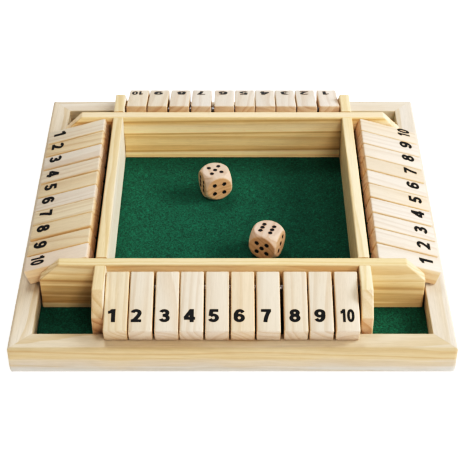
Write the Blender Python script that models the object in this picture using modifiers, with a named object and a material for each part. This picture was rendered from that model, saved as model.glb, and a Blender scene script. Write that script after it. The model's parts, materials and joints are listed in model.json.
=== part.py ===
"""Four-player shut the box game, in metres, +Z up.

A mitred square frame holds a plywood base with a felt sheet on it. Four plain boards, cross-lapped where
they meet, stand on the felt and close in a square dice tray. Outside each board lies a row of ten number
tiles, threaded on a steel rod whose ends sit in blind holes of the two neighbouring boards. A tile rests
with its free end on the frame and flips over inwards, until it leans on the board.
The origin is on the surface that the frame stands on, under the middle of the tray.
"""

import math

import bmesh
import bpy
from mathutils import Euler, Vector

# Driving dimensions of the frame
FRAME_SIDE = 0.225
RAIL_WIDTH = 0.0116
RAIL_HEIGHT = 0.0163
RAIL_OUTER_ROUND = 0.0020
RAIL_INNER_ROUND = 0.0006
RAIL_FOOT_ROUND = 0.0015
FRAME_CORNER_ROUND = 0.0018
MITRE_GAP = 0.0002

# Driving dimensions of the base panel and its felt
BASE_THICKNESS = 0.0040
BASE_RECESS = 0.0010
REBATE_WIDTH = 0.0040
FELT_THICKNESS = 0.0011

# Driving dimensions of the four boards round the dice tray, and of the wells that the tiles lie over
WELL_WIDTH = 0.03025
BOARD_THICKNESS = 0.0060
BOARD_TOP = 0.0356
BOARD_END_GAP = 0.0011
BOARD_END_CHAMFER = 0.0104
BOARD_EDGE_ROUND = 0.0009
LAP_GAP = 0.0003

# Driving dimensions of the number tiles and their rods
TILES_PER_ROW = 10
TILE_THICKNESS = 0.0092
ROW_PLAY = 0.0098
TILE_EDGE_ROUND = 0.0008
TILE_INNER_END = 0.0071
TILE_REST = 0.0049
SWING_CLEARANCE = 0.0016
HINGE_DROP = 0.0065
BACK_ROW_SHIFT = 0.0018
ROD_DIAMETER = 0.0030
ROD_CLEARANCE = 0.0003
ROD_HOLE_DEPTH = 0.0040

# Driving dimensions of the dice
DIE_SIDE = 0.0160
DIE_BALL_DIAMETER = 0.0217
PIP_DIAMETER = 0.0024
PIP_DEPTH = 0.0005

# Gap kept under a piece that rests on another
SEAT_GAP = 0.0003

# Lengths for the modelling alone: how far a cutter runs past what it cuts, and the weld distance
CUT_OVERRUN = 0.0010
WELD_DISTANCE = 0.000001

# Facets of the round forms
ROUND_STEPS = 3
CORNER_STEPS = 4
ROD_SIDES = 14
BALL_SEGMENTS = 32
BALL_RINGS = 16
PIP_SEGMENTS = 9
PIP_RINGS = 6

# Cosine above which a face counts as facing along an axis
FACING = 0.9

# Rows of tiles, by the quarter turns that bring the front row there
ROWS = (("front", 0), ("right", 1), ("back", 2), ("left", 3))

# The play of each row, shared out over its eleven gaps: board, tile 1, tile 2 and so on to the other board
GAP_SHARES = {
    "front": (0.035, 0.05, 0.11, 0.045, 0.085, 0.085, 0.09, 0.18, 0.075, 0.115, 0.13),
    "right": (0.04, 0.12, 0.09, 0.14, 0.12, 0.07, 0.11, 0.08, 0.09, 0.07, 0.07),
    "back": (0.05, 0.16, 0.06, 0.04, 0.035, 0.06, 0.19, 0.13, 0.115, 0.055, 0.105),
    "left": (0.08, 0.11, 0.08, 0.14, 0.13, 0.06, 0.035, 0.04, 0.18, 0.06, 0.085),
}

# Each die's place in shares of the tray's side, and its turn in degrees
DIE_PLACE_SHARES = {"die_back": (-0.0776, 0.2287), "die_front": (0.1467, -0.1896)}
DIE_TURNS = {"die_back": 18.9, "die_front": -23.1}

# Pips on each die's faces, named from the die itself: up, down, and towards its own -Y, +Y, -X and +X
DIE_FACES = {
    "die_back": {"up": "five", "down": "two", "near": "four", "far": "three", "left": "six", "right": "one"},
    "die_front": {"up": "six", "down": "one", "near": "five", "far": "two", "left": "four", "right": "three"},
}
PIP_STEP_SHARE = 0.18
PIP_PATTERNS = {
    "one": ((0, 0),),
    "two": ((-1, -1), (1, 1)),
    "three": ((-1, -1), (0, 0), (1, 1)),
    "four": ((-1, -1), (1, -1), (-1, 1), (1, 1)),
    "five": ((-1, -1), (1, -1), (0, 0), (-1, 1), (1, 1)),
    "six": ((-1, -1), (-1, 0), (-1, 1), (1, -1), (1, 0), (1, 1)),
}
FACE_TURNS = {
    "up": (0, 0, 0),
    "down": (180, 0, 0),
    "near": (90, 0, 0),
    "far": (-90, 0, 0),
    "left": (90, 0, -90),
    "right": (90, 0, 90),
}

# Colours, roughness and metallic values, from the photograph
FINISHES = {
    "frame_pine": ((0.80, 0.66, 0.47), 0.55, 0.0),
    "board_pine": ((0.76, 0.58, 0.34), 0.50, 0.0),
    "tile_pine": ((0.84, 0.70, 0.52), 0.50, 0.0),
    "base_plywood": ((0.70, 0.56, 0.38), 0.70, 0.0),
    "green_felt": ((0.010, 0.105, 0.052), 0.95, 0.0),
    "rod_steel": ((0.55, 0.55, 0.56), 0.30, 1.0),
    "die_beech": ((0.78, 0.56, 0.33), 0.45, 0.0),
}

# Sizes worked out from the driving dimensions
FRAME_HALF = FRAME_SIDE / 2
WALL_HALF = FRAME_HALF - RAIL_WIDTH
BASE_TOP = BASE_RECESS + BASE_THICKNESS
FELT_BOTTOM = BASE_TOP + SEAT_GAP
FELT_TOP = FELT_BOTTOM + FELT_THICKNESS
BOARD_FACE = WALL_HALF - WELL_WIDTH
BOARD_OFFSET = BOARD_FACE - BOARD_THICKNESS / 2
TRAY_HALF = BOARD_FACE - BOARD_THICKNESS
TRAY_SIDE = 2 * TRAY_HALF
BOARD_BOTTOM = FELT_TOP + SEAT_GAP
BOARD_HALF_LENGTH = WALL_HALF - BOARD_END_GAP
LAP_HEIGHT = (BOARD_BOTTOM + BOARD_TOP) / 2
LAP_HALF_WIDTH = BOARD_THICKNESS / 2 + LAP_GAP
TILE_WIDTH = (TRAY_SIDE - ROW_PLAY) / TILES_PER_ROW
HINGE_HEIGHT = BOARD_TOP - HINGE_DROP
HINGE_OUT = BOARD_FACE + math.hypot(TILE_INNER_END, TILE_THICKNESS / 2) + SWING_CLEARANCE
BORE_DIAMETER = ROD_DIAMETER + 2 * ROD_CLEARANCE


def tile_seat():
    """The tile's length beyond its hinge and its slope at rest, with its rounded lower edge on the rail."""
    out = WALL_HALF + TILE_REST - HINGE_OUT
    drop = HINGE_HEIGHT - (RAIL_HEIGHT + SEAT_GAP + TILE_EDGE_ROUND)
    below = TILE_THICKNESS / 2 - TILE_EDGE_ROUND
    along = math.sqrt(out**2 + drop**2 - below**2)
    slope = math.atan2(drop, out) - math.atan2(below, along)
    return along + TILE_EDGE_ROUND, slope


def hinge_out(row):
    """How far a row's rod lies from the tray's middle: the back row's lies a little further from its board."""
    return HINGE_OUT + (BACK_ROW_SHIFT if row == "back" else 0)


def tile_place(row, index):
    """How far along its rod a tile's middle lies, with the gaps of its row before it."""
    gaps = sum(GAP_SHARES[row][: index + 1]) * ROW_PLAY
    return gaps + (index + 0.5) * TILE_WIDTH - TRAY_HALF


def clear_scene():
    for old in list(bpy.data.objects):
        bpy.data.objects.remove(old, do_unlink=True)


def new_collection(name):
    made = bpy.data.collections.new(name)
    bpy.context.scene.collection.children.link(made)
    return made


def make_materials():
    made = {}
    for name, (colour, roughness, metallic) in FINISHES.items():
        material = bpy.data.materials.new(name)
        material.use_nodes = True
        shader = material.node_tree.nodes["Principled BSDF"]
        shader.inputs["Base Color"].default_value = (*colour, 1)
        shader.inputs["Roughness"].default_value = roughness
        shader.inputs["Metallic"].default_value = metallic
        material.diffuse_color = (*colour, 1)
        made[name] = material
    return made


def add_object(name, data, collection, parent=None, material=None):
    made = bpy.data.objects.new(name, data)
    made.parent = parent
    collection.objects.link(made)
    if material is not None and not data.materials:
        data.materials.append(material)
    return made


def add_cutter(name, data, collection, parent=None):
    made = add_object(name, data, collection, parent)
    made.hide_render = True
    made.display_type = "WIRE"
    return made


def add_boolean(target, cutter, operation="DIFFERENCE"):
    modifier = target.modifiers.new(cutter.name, "BOOLEAN")
    modifier.operation = operation
    modifier.solver = "EXACT"
    modifier.object = cutter


def rounded_outline(corners, steps):
    """Outline points from corners (x, y, radius), each rounded by an arc where its radius isn't zero."""
    points = []
    for index, (x, y, radius) in enumerate(corners):
        corner = Vector((x, y))
        if radius == 0:
            points.append(corner)
            continue
        back = (Vector(corners[index - 1][:2]) - corner).normalized()
        ahead = (Vector(corners[(index + 1) % len(corners)][:2]) - corner).normalized()
        half_angle = back.angle(ahead) / 2
        centre = corner + (back + ahead).normalized() * radius / math.sin(half_angle)
        start = corner + back * radius / math.tan(half_angle) - centre
        end = corner + ahead * radius / math.tan(half_angle) - centre
        turn = start.angle_signed(end)
        for step in range(steps + 1):
            angle = -turn * step / steps
            across = Vector((-start.y, start.x))
            points.append(centre + start * math.cos(angle) + across * math.sin(angle))
    return points


def plate_mesh(name, points, thickness):
    """A flat outline in XY, thickened along Z about zero, as a closed mesh with whole flat faces."""
    curve = bpy.data.curves.new(name, "CURVE")
    curve.dimensions = "2D"
    curve.fill_mode = "BOTH"
    curve.extrude = thickness / 2
    spline = curve.splines.new("POLY")
    spline.points.add(len(points) - 1)
    for place, point in zip(spline.points, points):
        place.co = (point.x, point.y, 0, 1)
    spline.use_cyclic_u = True
    holder = bpy.data.objects.new(name, curve)
    bpy.context.scene.collection.objects.link(holder)
    bpy.context.view_layer.update()
    evaluated = holder.evaluated_get(bpy.context.evaluated_depsgraph_get())
    mesh = bpy.data.meshes.new_from_object(evaluated)
    mesh.name = name
    bpy.data.objects.remove(holder, do_unlink=True)
    bpy.data.curves.remove(curve)
    shape = bmesh.new()
    shape.from_mesh(mesh)
    bmesh.ops.remove_doubles(shape, verts=shape.verts, dist=WELD_DISTANCE)
    for side in (-1, 1):
        flat = [face for face in shape.faces if all(vert.co.z * side > 0 for vert in face.verts)]
        bmesh.ops.dissolve_faces(shape, faces=flat)
    bmesh.ops.recalc_face_normals(shape, faces=shape.faces)
    shape.to_mesh(mesh)
    shape.free()
    return mesh


def block_mesh(name, size, centre=(0, 0, 0)):
    """A box of the given size, from a unit cube."""
    shape = bmesh.new()
    bmesh.ops.create_cube(shape, size=1)
    bmesh.ops.scale(shape, vec=size, verts=shape.verts)
    bmesh.ops.translate(shape, vec=centre, verts=shape.verts)
    mesh = bpy.data.meshes.new(name)
    shape.to_mesh(mesh)
    shape.free()
    return mesh


def rod_mesh(name, diameter, length):
    """A round bar along X, centred on the origin."""
    shape = bmesh.new()
    bmesh.ops.create_cone(
        shape,
        cap_ends=True,
        segments=ROD_SIDES,
        radius1=diameter / 2,
        radius2=diameter / 2,
        depth=length,
    )
    quarter = Euler((0, math.radians(90), 0)).to_matrix()
    bmesh.ops.rotate(shape, matrix=quarter, verts=shape.verts)
    mesh = bpy.data.meshes.new(name)
    shape.to_mesh(mesh)
    shape.free()
    smooth(mesh)
    return mesh


def smooth(mesh):
    mesh.shade_smooth()
    mesh.set_sharp_from_angle(angle=math.radians(35))


def lay_on_edge(mesh):
    """Turns a plate drawn in XY upright: its outline's Y becomes height, its thickness runs along Y."""
    mesh.transform(Euler((math.radians(90), 0, 0)).to_matrix().to_4x4())


def cut_mitre(shape, side):
    """Cuts one end of the front rail off along the corner's diagonal, less half of the mitre gap."""
    normal = Vector((side, 1, 0)).normalized()
    corner = Vector((side * FRAME_HALF, -FRAME_HALF, 0))
    geometry = list(shape.verts) + list(shape.edges) + list(shape.faces)
    cut = bmesh.ops.bisect_plane(
        shape,
        geom=geometry,
        plane_co=corner - normal * MITRE_GAP / 2,
        plane_no=normal,
        clear_outer=True,
    )
    rim = [item for item in cut["geom_cut"] if isinstance(item, bmesh.types.BMEdge)]
    bmesh.ops.holes_fill(shape, edges=rim, sides=0)


def rail_mesh():
    """The front rail: a rounded bar with a rebate for the base along its inner foot, mitred at both ends."""
    rebate_top = BASE_TOP + SEAT_GAP
    section = rounded_outline(
        (
            (-FRAME_HALF, 0, RAIL_FOOT_ROUND),
            (-WALL_HALF - REBATE_WIDTH, 0, 0),
            (-WALL_HALF - REBATE_WIDTH, rebate_top, 0),
            (-WALL_HALF, rebate_top, 0),
            (-WALL_HALF, RAIL_HEIGHT, RAIL_INNER_ROUND),
            (-FRAME_HALF, RAIL_HEIGHT, RAIL_OUTER_ROUND),
        ),
        ROUND_STEPS,
    )
    mesh = plate_mesh("frame_rail", section, FRAME_SIDE + 2 * CUT_OVERRUN)
    # The section's X becomes the rail's place along Y, its Y the height, and its thickness the length.
    stand_up = Euler((math.radians(90), 0, math.radians(90))).to_matrix().to_4x4()
    mesh.transform(stand_up)
    shape = bmesh.new()
    shape.from_mesh(mesh)
    for side in (-1, 1):
        cut_mitre(shape, side)
    bmesh.ops.recalc_face_normals(shape, faces=shape.faces)
    shape.to_mesh(mesh)
    shape.free()
    smooth(mesh)
    return mesh


def corner_envelope(cutters):
    """A rounded square column: what is left of the frame's upright corners after sanding."""
    corners = [
        (x * FRAME_HALF, y * FRAME_HALF, FRAME_CORNER_ROUND)
        for x, y in ((-1, -1), (1, -1), (1, 1), (-1, 1))
    ]
    mesh = plate_mesh(
        "corner_envelope", rounded_outline(corners, CORNER_STEPS), 2 * (RAIL_HEIGHT + CUT_OVERRUN)
    )
    return add_cutter("corner_envelope", mesh, cutters)


def add_frame(parts, cutters, row_empties, materials):
    envelope = corner_envelope(cutters)
    mesh = rail_mesh()
    for row, _ in ROWS:
        rail = add_object(f"{row}_rail", mesh, parts, row_empties[row], materials["frame_pine"])
        add_boolean(rail, envelope, "INTERSECT")


def add_base(parts, materials):
    side = 2 * (WALL_HALF + REBATE_WIDTH - SEAT_GAP)
    panel = block_mesh("base_panel", (side, side, BASE_THICKNESS), (0, 0, BASE_RECESS + BASE_THICKNESS / 2))
    add_object("base_panel", panel, parts, None, materials["base_plywood"])


def add_felt(parts, materials):
    side = 2 * (WALL_HALF - SEAT_GAP)
    sheet = block_mesh("felt_sheet", (side, side, FELT_THICKNESS), (0, 0, FELT_BOTTOM + FELT_THICKNESS / 2))
    add_object("felt_sheet", sheet, parts, None, materials["green_felt"])


def board_outline(notched_above):
    """A board seen from the tray: chamfered upper corners, and two notches for the crossing boards."""
    end = BOARD_HALF_LENGTH
    shoulder = BOARD_TOP - BOARD_END_CHAMFER
    near = BOARD_OFFSET - LAP_HALF_WIDTH
    far = BOARD_OFFSET + LAP_HALF_WIDTH
    bottom = [(-end, BOARD_BOTTOM, 0), (end, BOARD_BOTTOM, 0)]
    top = [
        (end, shoulder, 0),
        (end - BOARD_END_CHAMFER, BOARD_TOP, 0),
        (BOARD_END_CHAMFER - end, BOARD_TOP, 0),
        (-end, shoulder, 0),
    ]
    if notched_above:
        floor = LAP_HEIGHT - LAP_GAP / 2
        notches = []
        for first, second in ((far, near), (-near, -far)):
            notches += [
                (first, BOARD_TOP, 0),
                (first, floor, 0),
                (second, floor, 0),
                (second, BOARD_TOP, 0),
            ]
        corners = bottom + top[:2] + notches + top[2:]
    else:
        roof = LAP_HEIGHT + LAP_GAP / 2
        notches = []
        for first, second in ((-far, -near), (near, far)):
            notches += [
                (first, BOARD_BOTTOM, 0),
                (first, roof, 0),
                (second, roof, 0),
                (second, BOARD_BOTTOM, 0),
            ]
        corners = bottom[:1] + notches + bottom[1:] + top
    return rounded_outline(corners, ROUND_STEPS)


def mark_upper_edges(mesh):
    """Bevel weight on the long edges along a board's top, its end chamfers and its ends."""
    shape = bmesh.new()
    shape.from_mesh(mesh)
    weight = shape.edges.layers.float.new("bevel_weight_edge")
    for edge in shape.edges:
        walls = [face for face in edge.link_faces if abs(face.normal.y) < FACING]
        if len(walls) != 1:
            continue
        wall = walls[0]
        centre = wall.calc_center_median()
        at_end = abs(wall.normal.x) > FACING and abs(centre.x) > BOARD_HALF_LENGTH - WELD_DISTANCE
        on_top = wall.normal.z > 0 and centre.z > (LAP_HEIGHT + BOARD_TOP) / 2
        if at_end or on_top:
            edge[weight] = 1
    shape.to_mesh(mesh)
    shape.free()


def board_mesh(name, notched_above):
    mesh = plate_mesh(name, board_outline(notched_above), BOARD_THICKNESS)
    lay_on_edge(mesh)
    mark_upper_edges(mesh)
    return mesh


def add_boards(parts, materials):
    """The two boards that run left to right are notched from below, the two others from above."""
    boards = {}
    for pair, notched_above, places in (
        ("cross_board", False, (("front", (0, -1)), ("back", (0, 1)))),
        ("side_board", True, (("left", (-1, 0)), ("right", (1, 0)))),
    ):
        mesh = board_mesh(pair, notched_above)
        for side, (x, y) in places:
            board = add_object(f"{side}_board", mesh, parts, None, materials["board_pine"])
            board.location = (x * BOARD_OFFSET, y * BOARD_OFFSET, 0)
            board.rotation_euler.z = math.radians(90) * abs(x)
            rounding = board.modifiers.new("edge rounding", "BEVEL")
            rounding.offset_type = "ABSOLUTE"
            rounding.width = BOARD_EDGE_ROUND
            rounding.segments = ROUND_STEPS
            rounding.limit_method = "WEIGHT"
            boards[side] = board
    return boards


def add_rods(parts, cutters, row_empties, materials):
    """Each row's rod, and the bore that it needs through its tiles and into the two boards."""
    reach = TRAY_SIDE + 2 * ROD_HOLE_DEPTH
    mesh = rod_mesh("hinge_rod", ROD_DIAMETER, reach - 2 * SEAT_GAP)
    bore = rod_mesh("rod_bore", BORE_DIAMETER, reach)
    bores = {}
    for row, _ in ROWS:
        rod = add_object(f"{row}_rod", mesh, parts, row_empties[row], materials["rod_steel"])
        bores[row] = add_cutter(f"{row}_bore", bore, cutters, row_empties[row])
        for piece in (rod, bores[row]):
            piece.location = (0, -hinge_out(row), HINGE_HEIGHT)
    return bores


def bore_boards(boards, bores):
    for side, neighbours in (
        ("front", ("left", "right")),
        ("back", ("left", "right")),
        ("left", ("front", "back")),
        ("right", ("front", "back")),
    ):
        for row in neighbours:
            add_boolean(boards[side], bores[row])


def add_tiles(parts, row_empties, bores, materials):
    """Ten tiles to a row. A tile's origin is on its hinge, with its free end towards -Y of its row."""
    free_length, slope = tile_seat()
    middle = (TILE_INNER_END - free_length) / 2
    size = (TILE_WIDTH, free_length + TILE_INNER_END, TILE_THICKNESS)
    mesh = block_mesh("number_tile", size, (0, middle, 0))
    smooth(mesh)
    for row, _ in ROWS:
        for index in range(TILES_PER_ROW):
            tile = add_object(
                f"{row}_tile_{index + 1:02d}", mesh, parts, row_empties[row], materials["tile_pine"]
            )
            tile.location = (tile_place(row, index), -hinge_out(row), HINGE_HEIGHT)
            tile.rotation_euler.x = slope
            rounding = tile.modifiers.new("edge rounding", "BEVEL")
            rounding.width = TILE_EDGE_ROUND
            rounding.segments = 2
            add_boolean(tile, bores[row])


def pip_mesh(name, faces):
    """One small ball for each pip of a die, each sunk to the pip's depth in its face."""
    radius = (PIP_DIAMETER**2 / 4 + PIP_DEPTH**2) / (2 * PIP_DEPTH)
    step = PIP_STEP_SHARE * DIE_SIDE
    shape = bmesh.new()
    for face, pattern in faces.items():
        turn = Euler([math.radians(angle) for angle in FACE_TURNS[face]]).to_matrix()
        for x, y in PIP_PATTERNS[pattern]:
            made = bmesh.ops.create_uvsphere(
                shape, u_segments=PIP_SEGMENTS, v_segments=PIP_RINGS, radius=radius
            )
            place = Vector((x * step, y * step, DIE_SIDE / 2 + radius - PIP_DEPTH))
            bmesh.ops.translate(shape, vec=place, verts=made["verts"])
            bmesh.ops.rotate(shape, matrix=turn, verts=made["verts"])
    mesh = bpy.data.meshes.new(name)
    shape.to_mesh(mesh)
    shape.free()
    smooth(mesh)
    return mesh


def ball_mesh():
    """The ball that rounds a die's edges and corners off."""
    shape = bmesh.new()
    bmesh.ops.create_uvsphere(
        shape, u_segments=BALL_SEGMENTS, v_segments=BALL_RINGS, radius=DIE_BALL_DIAMETER / 2
    )
    mesh = bpy.data.meshes.new("die_ball")
    shape.to_mesh(mesh)
    shape.free()
    smooth(mesh)
    return mesh


def add_dice(parts, cutters, materials):
    cube = block_mesh("die", (DIE_SIDE, DIE_SIDE, DIE_SIDE))
    ball = ball_mesh()
    for name, (x_share, y_share) in DIE_PLACE_SHARES.items():
        die = add_object(name, cube, parts, None, materials["die_beech"])
        die.location = (
            x_share * TRAY_SIDE,
            y_share * TRAY_SIDE,
            FELT_TOP + SEAT_GAP + DIE_SIDE / 2,
        )
        die.rotation_euler.z = math.radians(DIE_TURNS[name])
        rounder = add_cutter(f"{name}_ball", ball, cutters, die)
        pips = add_cutter(f"{name}_pips", pip_mesh(f"{name}_pips", DIE_FACES[name]), cutters, die)
        add_boolean(die, rounder, "INTERSECT")
        add_boolean(die, pips)


def add_row_empties(collection):
    """An empty for each row, on the tray's middle line and turned so that the row lies towards its -Y."""
    empties = {}
    for row, quarters in ROWS:
        empty = bpy.data.objects.new(f"{row}_row", None)
        empty.rotation_euler.z = math.radians(90) * quarters
        collection.objects.link(empty)
        empties[row] = empty
    return empties


def main():
    clear_scene()
    parts = new_collection("shut_the_box_game")
    cutters = new_collection("cutters")
    materials = make_materials()
    row_empties = add_row_empties(parts)
    add_frame(parts, cutters, row_empties, materials)
    add_base(parts, materials)
    add_felt(parts, materials)
    boards = add_boards(parts, materials)
    bores = add_rods(parts, cutters, row_empties, materials)
    bore_boards(boards, bores)
    add_tiles(parts, row_empties, bores, materials)
    add_dice(parts, cutters, materials)
    bpy.context.view_layer.update()


main()
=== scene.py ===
"""Looks of the four-player shut the box game, in metres, +Z up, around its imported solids.

Every wooden piece carries its own place in the log it was cut from, so grain runs on round its edges and
ends in rings on its end grain. Row frames are the front row's frame, turned by quarter turns.
"""

import json
import math
import random
from functools import partial

import bmesh
import bpy
import numpy as np
from mathutils import Euler, Matrix, Vector, noise


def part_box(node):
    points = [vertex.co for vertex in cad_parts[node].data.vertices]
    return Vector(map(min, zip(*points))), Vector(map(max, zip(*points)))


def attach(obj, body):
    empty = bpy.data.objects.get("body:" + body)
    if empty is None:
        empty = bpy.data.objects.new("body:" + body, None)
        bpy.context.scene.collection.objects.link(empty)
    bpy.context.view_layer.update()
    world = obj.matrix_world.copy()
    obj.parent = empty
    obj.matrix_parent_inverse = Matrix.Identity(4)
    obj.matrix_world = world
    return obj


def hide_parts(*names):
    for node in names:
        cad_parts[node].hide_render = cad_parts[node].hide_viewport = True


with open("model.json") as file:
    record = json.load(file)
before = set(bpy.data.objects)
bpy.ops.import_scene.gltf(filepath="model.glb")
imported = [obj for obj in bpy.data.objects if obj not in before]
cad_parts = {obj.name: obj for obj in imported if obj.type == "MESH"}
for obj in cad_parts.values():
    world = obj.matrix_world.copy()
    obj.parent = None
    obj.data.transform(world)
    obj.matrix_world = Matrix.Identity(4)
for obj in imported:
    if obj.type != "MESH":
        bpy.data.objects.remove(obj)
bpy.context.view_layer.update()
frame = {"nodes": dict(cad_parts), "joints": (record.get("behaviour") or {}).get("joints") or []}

NODES = frame["nodes"]
JOINTS = {joint["child"]: joint for joint in frame["joints"]}
QUARTER = math.radians(90)
ROWS = {"front": 0, "right": 1, "back": 2, "left": 3}
NUMBERS = range(1, 11)
TILES = [(row, number, f"{row}_tile_{number:02d}") for row in ROWS for number in NUMBERS]

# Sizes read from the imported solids
RAIL_LOW, RAIL_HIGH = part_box("front_rail")
FRAME_HALF = -RAIL_LOW.y
WALL_HALF = -RAIL_HIGH.y
RAIL_TOP = RAIL_HIGH.z
BASE_LOW, BASE_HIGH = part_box("base_panel")
FELT_LOW, FELT_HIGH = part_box("felt_sheet")
FRONT_LOW, FRONT_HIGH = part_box("front_board")
SIDE_LOW, SIDE_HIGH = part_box("right_board")
BOARD_HALF_LENGTH = FRONT_HIGH.x
BOARD_BOTTOM = FRONT_LOW.z
BOARD_TOP = FRONT_HIGH.z
BOARD_THICKNESS = FRONT_HIGH.y - FRONT_LOW.y
BOARD_OFFSET = (SIDE_LOW.x + SIDE_HIGH.x) / 2
ROD_LOW, ROD_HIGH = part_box("front_rod")
ROD_DIAMETER = ROD_HIGH.z - ROD_LOW.z

# Sizes of the modelled detail
SEAT_GAP = 0.0003
RAIL_OUTER_ROUND = 0.0020
RAIL_INNER_ROUND = 0.0006
RAIL_FOOT_ROUND = 0.0015
FRAME_CORNER_ROUND = 0.0018
FRAME_CORNER_FOOT_EASE = 0.0014
MITRE_GAP = 0.00004
BOARD_END_CHAMFER = 0.0104
BOARD_EDGE_ROUND = 0.0009
LAP_GAP = 0.0003
TILE_EDGE_ROUND = 0.0008
ROD_CLEARANCE = 0.0003
BORE_DIAMETER = ROD_DIAMETER + 2 * ROD_CLEARANCE
ROD_HOLE_DEPTH = 0.0040
ROD_END_CHAMFER = 0.0002
DIE_SIDE = 0.0160
DIE_BALL_DIAMETER = 0.0217
DIE_EDGE_BLEND = 0.00035
DIE_CELLS = 40
PIP_DIAMETER = 0.0024
PIP_DEPTH = 0.0005
PIP_BALL_RADIUS = (PIP_DIAMETER**2 / 4 + PIP_DEPTH**2) / (2 * PIP_DEPTH)
PIP_STEP_SHARE = 0.18
SANDING_DEPTH = 0.00005
RAIL_STATIONS = 60
CORNER_STATIONS = 12
CORNER_REACH_SHARE = 1.6
FELT_CELLS = 170
FELT_SINK = 0.00009
FELT_SWELL = 0.00006
CUT_OVERRUN = 0.0010

# Numerals, in shares of their height
INK_SHARE = 0.010
STEM_SHARE = 0.275
BAR_SHARE = 0.215
CONDENSED_SHARE = 0.66
TEN_SPACE_SHARE = 0.10
NUMERAL_HEIGHTS = {"front": 0.0075, "right": 0.0078, "back": 0.0074, "left": 0.0075}
NUMERAL_FEET = {"front": 0.0053, "right": 0.0042, "back": 0.0036, "left": 0.0035}
NUMERAL_SHIFTS = {
    "front": (-1.9, -2.1, -1.0, -1.0, -1.7, -1.7, -1.2, -0.6, -0.8, -0.1),
    "right": (0.1, 0.3, 0.6, 1.0, 0.9, 1.6, 1.9, 2.1, 2.3, 2.3),
    "back": (0.6, 0.4, -0.2, -0.1, 0.5, 0.8, 0.5, -0.6, 0.5, 1.0),
    "left": (-1.8, -2.0, -1.8, -1.0, -1.5, -1.8, -2.2, -1.5, -1.1, -0.7),
}
MILLIMETRE = 0.001

# The plywood's face veneer: its rings' spacing in mm and its pith's place
PLY_SPACING = 4.0
PLY_PITH = (0.13, 0.02, 0.0)

# Light, fitted to the photograph: name, azimuth and elevation in degrees, power in watts
LIGHT_DISTANCE = 1.25
LIGHT_SIZE = 0.45
LIGHTS = (
    ("key", 9, 36, 8.8),
    ("back", 110, 58, 4.6),
    ("low_right", -15, 25, 5.7),
    ("front", -70, 37, 4.8),
    ("left", -135, 35, 1.1),
    ("low_back", 90, 30, 0.8),
)
WORLD_STRENGTH = 0.137
FLOOR_GLOW = 0.55
FLOOR_HALF = 30
TONE_BEND = 0.4
TONE_STEPS = 16
CODING_POWER = 2.2

# Each die: its turn in degrees, and the pips on its faces, as in the part
DICE = {
    "die_back": (18.9, {"up": 5, "down": 2, "near": 4, "far": 3, "left": 6, "right": 1}),
    "die_front": (-23.1, {"up": 6, "down": 1, "near": 5, "far": 2, "left": 4, "right": 3}),
}
PIP_PATTERNS = {
    1: ((0, 0),),
    2: ((-1, -1), (1, 1)),
    3: ((-1, -1), (0, 0), (1, 1)),
    4: ((-1, -1), (1, -1), (-1, 1), (1, 1)),
    5: ((-1, -1), (1, -1), (0, 0), (-1, 1), (1, 1)),
    6: ((-1, -1), (-1, 0), (-1, 1), (1, -1), (1, 0), (1, 1)),
}
FACE_TURNS = {
    "up": (0, 0, 0),
    "down": (180, 0, 0),
    "near": (90, 0, 0),
    "far": (-90, 0, 0),
    "left": (90, 0, -90),
    "right": (90, 0, 90),
}

# Tints that tell one stick of wood from the next, and bands within one. "bright" on the back board is partly
# painted light, and the rail's foot tint is painted light from the white floor.
TINTS = {
    "plain": (1.00, 1.00, 1.00),
    "pale": (1.01, 1.02, 1.04),
    "ivory": (1.02, 1.00, 0.95),
    "cream": (0.99, 0.98, 0.93),
    "warm": (0.99, 0.96, 0.90),
    "honey": (1.01, 0.96, 0.82),
    "gold": (0.99, 0.92, 0.76),
    "amber": (1.02, 0.94, 0.81),
    "straw": (0.90, 0.84, 0.72),
    "bright": (1.13, 1.13, 1.16),
    "blush": (1.02, 0.96, 0.92),
    "light": (1.10, 1.05, 0.96),
    "tan": (0.92, 0.83, 0.68),
    "brown": (0.80, 0.66, 0.47),
    "umber": (0.64, 0.49, 0.31),
    "ash": (0.92, 0.92, 0.92),
    "ochre": (0.84, 0.76, 0.62),
    "sand": (0.90, 0.84, 0.71),
    "rose": (0.82, 0.82, 0.88),
    "dusty": (0.88, 0.84, 0.80),
    # Painted light from the white floor, on the front rail's foot.
    "painted_floor_light": (0.84, 0.98, 1.30),
}

# Bands of darker and paler wood, as (height in mm, tint), for the face towards a piece's own -Y; the rail's
# greyer, bluer foot is painted light from the white floor. They lean and wave: the height at a place is Z,
# plus the lean times X, plus the wave's height in mm.
BAND_LEANS = {"front": 0.030, "back": -0.014, "rail": 0.0}
BAND_WAVES = {"front": 0.0, "back": 0.0, "rail": 0.7}
WAVE_TURNS = (88, 205)
# How fast the bands set in on a rounded edge, and how far each piece's bands fade towards its +X end
BAND_EDGE_RISE = 2.5
BAND_FADES = {"front": 0.45, "back": 0.0, "rail": 0.0}
BANDS = {
    "front": (
        (4.5, "ash"), (6.6, "ash"), (7.4, "brown"), (11.2, "brown"), (12.2, "light"), (13.2, "brown"),
        (15.8, "tan"), (18.4, "brown"), (19.4, "light"), (20.8, "light"), (22.3, "umber"), (23.4, "tan"),
        (26.0, "light"), (29.5, "plain"), (31.5, "dusty"),
    ),
    "back": (
        (8.0, "light"), (10.8, "plain"), (11.9, "umber"), (13.0, "tan"), (19.0, "straw"), (23.4, "tan"),
        (24.4, "umber"), (25.2, "light"), (29.5, "plain"), (31.6, "tan"), (32.9, "umber"), (34.2, "tan"),
    ),
    "rail": (
        # The greyer, bluer foot is painted light from the white floor.
        (1.2, "painted_floor_light"), (3.4, "painted_floor_light"), (4.9, "rose"), (7.9, "rose"), (8.8, "ash"), (9.8, "ochre"),
        (11.0, "sand"), (12.0, "ochre"), (14.2, "ochre"), (15.4, "sand"),
    ),
}
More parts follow.
